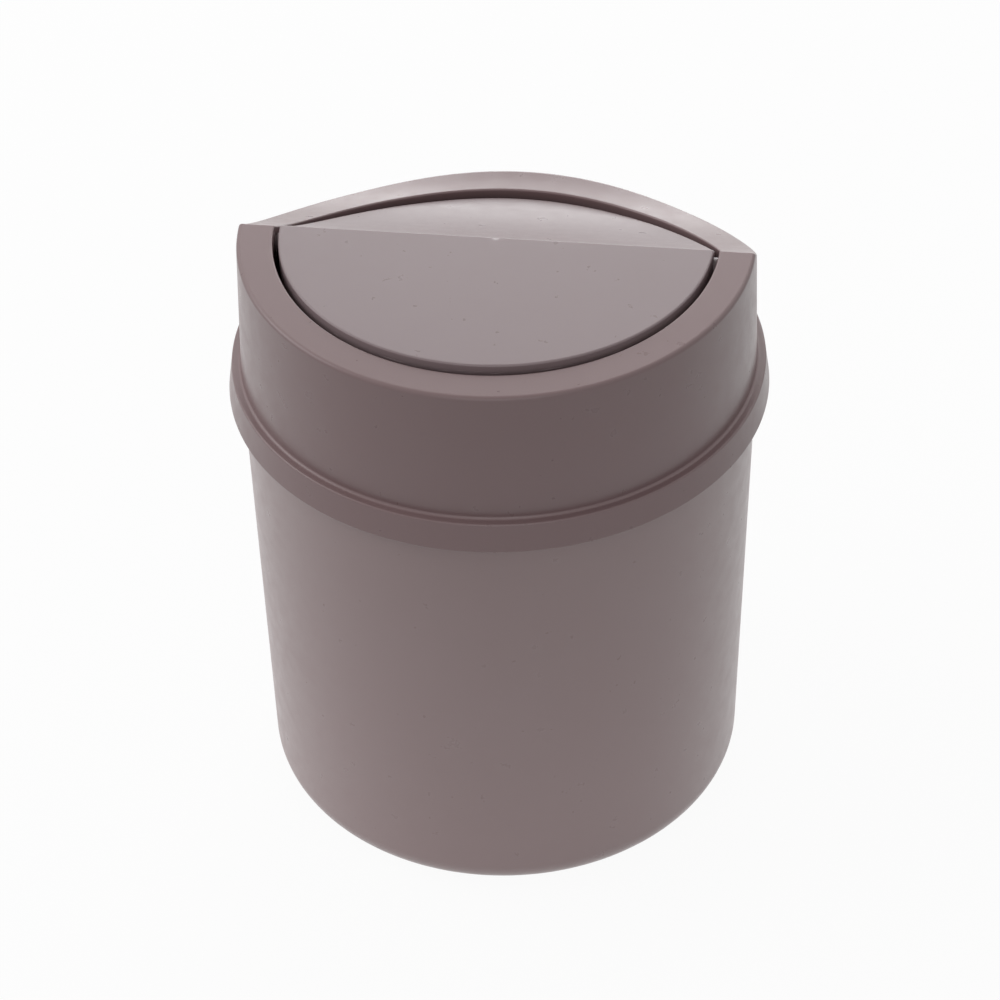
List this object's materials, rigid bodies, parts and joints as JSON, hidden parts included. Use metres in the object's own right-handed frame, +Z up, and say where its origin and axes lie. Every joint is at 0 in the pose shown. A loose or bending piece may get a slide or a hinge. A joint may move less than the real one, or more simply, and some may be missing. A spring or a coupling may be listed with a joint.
{
  "type": "countertop trash can with swing lid",
  "caption": "Small round plastic bin: tapered bucket, lift-off hood with a raised ridge, and a round flap that swings in the hood's opening.",
  "frame": {"origin": "centre of the bucket's foot ring, on the table", "axes": "+Z up, the front of the bin faces -Y, the hinge line runs along X under the ridge"},
  "size_m": [0.15, 0.15, 0.1842],
  "materials": {
    "bucket_plastic": "satin moulded polypropylene, warm taupe",
    "hood_plastic": "satin moulded polypropylene, warm taupe",
    "flap_plastic": "satin moulded polypropylene, warm taupe"
  },
  "bodies": {
    "bucket": {"bucket": "bucket_plastic"},
    "hood": {"hood": "hood_plastic"},
    "swing_flap": {"swing_flap": "flap_plastic"}
  },
  "joints": [
    {"name": "hood_lift", "type": "slide", "parent": "bucket", "child": "hood", "axis": [0, 0, 1], "range_m": [0, 0.04]},
    {"name": "flap_swing", "type": "hinge", "parent": "hood", "child": "swing_flap", "pos_m": [0, 0, 0.1756], "axis": [1, 0, 0], "range_deg": [-90, 90]}
  ]
}
